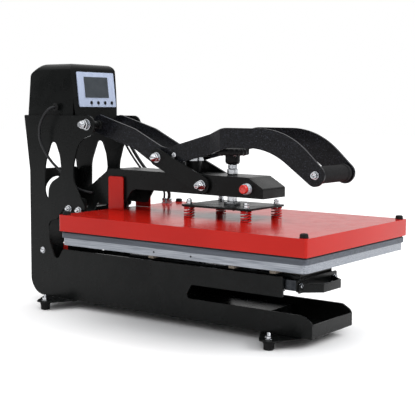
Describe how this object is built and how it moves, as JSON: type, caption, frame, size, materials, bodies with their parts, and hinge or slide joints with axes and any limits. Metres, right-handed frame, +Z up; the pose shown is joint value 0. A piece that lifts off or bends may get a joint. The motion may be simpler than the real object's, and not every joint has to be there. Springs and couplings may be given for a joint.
{
  "type": "heat press",
  "caption": "Clamshell heat press: flat upper platen on a hinged beam with toggle handle, slide-out lower platen, electromagnet hold-down, control box and sheet-steel frame on rubber feet.",
  "frame": {"origin": "middle of the bounding box, on the surface that the feet stand on", "axes": "+Z up, the handle and the operator on the -Y side, +X to the right seen from the operator"},
  "size_m": [0.41, 0.8456, 0.559],
  "materials": {
    "black_paint": "semi-gloss powder coat",
    "hammered_paint": "hammered sparkle powder coat",
    "red_paint": "gloss powder coat",
    "red_spring": "painted die spring",
    "aluminium": "brushed",
    "steel": "zinc plated",
    "rail_steel": "rolled and zinc plated",
    "coating": "non-stick coating",
    "silicone": "matt silicone sponge",
    "rubber": "matt",
    "foam": "foam rubber",
    "cable": "satin sheath",
    "black_plastic": "moulded",
    "panel": "silver-blue film",
    "button_plastic": "moulded",
    "red_plastic": "moulded",
    "white_plastic": "moulded",
    "insulator": "pressed fibre board"
  },
  "bodies": {
    "frame": {"side_plate_left": "black_paint", "side_plate_right": "black_paint", "base_tray": "black_paint", "rear_panel": "black_paint", "foot_bar_front": "black_paint", "foot_bar_rear": "black_paint", "foot_front_left": "rubber", "foot_front_right": "rubber", "foot_rear_left": "rubber", "foot_rear_right": "rubber", "hinge_block_left": "black_paint", "hinge_block_right": "black_paint", "hinge_shaft": "steel", "pivot_bolt": "steel", "power_inlet": "black_plastic", "control_box": "black_paint", "control_panel": "panel", "slide_rail_left": "rail_steel", "slide_rail_right": "rail_steel", "signal_cable": "cable"},
    "power_rocker": {"power_switch": "red_plastic"},
    "drawer": {"slide_runner_left": "rail_steel", "slide_runner_right": "rail_steel", "drawer_carriage": "black_paint", "drawer_front": "black_paint", "drawer_handle": "black_paint", "platen_support_front": "insulator", "platen_support_rear": "insulator", "lower_platen": "aluminium", "silicone_pad": "silicone"},
    "upper_beam": {"beam": "black_paint", "magnet": "black_plastic", "stop_button_ring": "white_plastic", "link_pin": "steel"},
    "stop_button": {"stop_button": "red_plastic"},
    "knob": {"pressure_knob": "black_plastic", "pressure_spindle": "steel"},
    "pressure_plate": {"pressure_sleeve": "steel", "spring_plate": "black_paint", "pressure_spring_1": "red_spring", "pressure_spring_2": "red_spring", "pressure_spring_3": "red_spring", "pressure_spring_4": "red_spring"},
    "upper_platen": {"platen_cover": "red_paint", "heating_platen": "coating", "guide_tab_left": "red_paint", "guide_tab_right": "red_paint", "heater_cable": "cable"},
    "handle": {"handle_arm_left": "hammered_paint", "handle_arm_right": "hammered_paint", "armature_bar": "black_paint", "armature": "steel", "grip": "foam", "handle_pin": "steel"},
    "links": {"link_left": "black_paint", "link_right": "black_paint"},
    "panel_button_1": {"panel_button_1": "button_plastic"},
    "panel_button_2": {"panel_button_2": "button_plastic"},
    "panel_button_3": {"panel_button_3": "button_plastic"},
    "panel_button_4": {"panel_button_4": "button_plastic"}
  },
  "joints": [
    {"name": "drawer_slide", "type": "slide", "parent": "frame", "child": "drawer", "axis": [0, -1, 0], "range_m": [0, 0.3]},
    {"name": "beam_hinge", "type": "hinge", "parent": "frame", "child": "upper_beam", "pos_m": [0, 0.26422, 0.238], "axis": [-1, 0, 0], "range_deg": [0, 40]},
    {"name": "handle_pivot", "type": "hinge", "parent": "frame", "child": "handle", "pos_m": [0, 0.22222, 0.422], "axis": [-1, 0, 0], "range_deg": [0, 86.4]},
    {"name": "link_pivot", "type": "hinge", "parent": "upper_beam", "child": "links", "pos_m": [0, -0.07428, 0.3], "axis": [1, 0, 0], "range_deg": [0, 59.1]},
    {"name": "knob_turn", "type": "hinge", "parent": "upper_beam", "child": "knob", "pos_m": [0, -0.11978, 0.35], "axis": [0, 0, -1], "range_deg": [0, 1085]},
    {"name": "pressure_travel", "type": "slide", "parent": "upper_beam", "child": "pressure_plate", "axis": [0, 0, 1], "range_m": [0, 0.006]},
    {"name": "platen_float", "type": "slide", "parent": "pressure_plate", "child": "upper_platen", "axis": [0, 0, 1], "range_m": [0, 0.003], "stiffness_N_per_m": 60000, "springref_m": -0.004, "deforming": ["pressure_spring_1", "pressure_spring_2", "pressure_spring_3", "pressure_spring_4"]},
    {"name": "stop_button_press", "type": "slide", "parent": "upper_beam", "child": "stop_button", "axis": [1, 0, 0], "range_m": [0, 0.003], "stiffness_N_per_m": 400, "springref_m": -0.002},
    {"name": "power_rocker_tilt", "type": "hinge", "parent": "frame", "child": "power_rocker", "pos_m": [0.026, 0.39822, 0.12], "axis": [1, 0, 0], "range_deg": [0, 10]},
    {"name": "panel_button_1_press", "type": "slide", "parent": "frame", "child": "panel_button_1", "axis": [0, 0.9923, -0.124], "range_m": [0, 0.001], "stiffness_N_per_m": 500, "springref_m": -0.001},
    {"name": "panel_button_2_press", "type": "slide", "parent": "frame", "child": "panel_button_2", "axis": [0, 0.9923, -0.124], "range_m": [0, 0.001], "stiffness_N_per_m": 500, "springref_m": -0.001},
    {"name": "panel_button_3_press", "type": "slide", "parent": "frame", "child": "panel_button_3", "axis": [0, 0.9923, -0.124], "range_m": [0, 0.001], "stiffness_N_per_m": 500, "springref_m": -0.001},
    {"name": "panel_button_4_press", "type": "slide", "parent": "frame", "child": "panel_button_4", "axis": [0, 0.9923, -0.124], "range_m": [0, 0.001], "stiffness_N_per_m": 500, "springref_m": -0.001}
  ],
  "couplings": [
    {"joint": "handle_pivot", "follows": "beam_hinge", "ratio": 2.1472},
    {"joint": "link_pivot", "follows": "beam_hinge", "ratio": 1.4647},
    {"joint": "knob_turn", "follows": "pressure_travel", "rad_per_m": 3141.6}
  ]
}
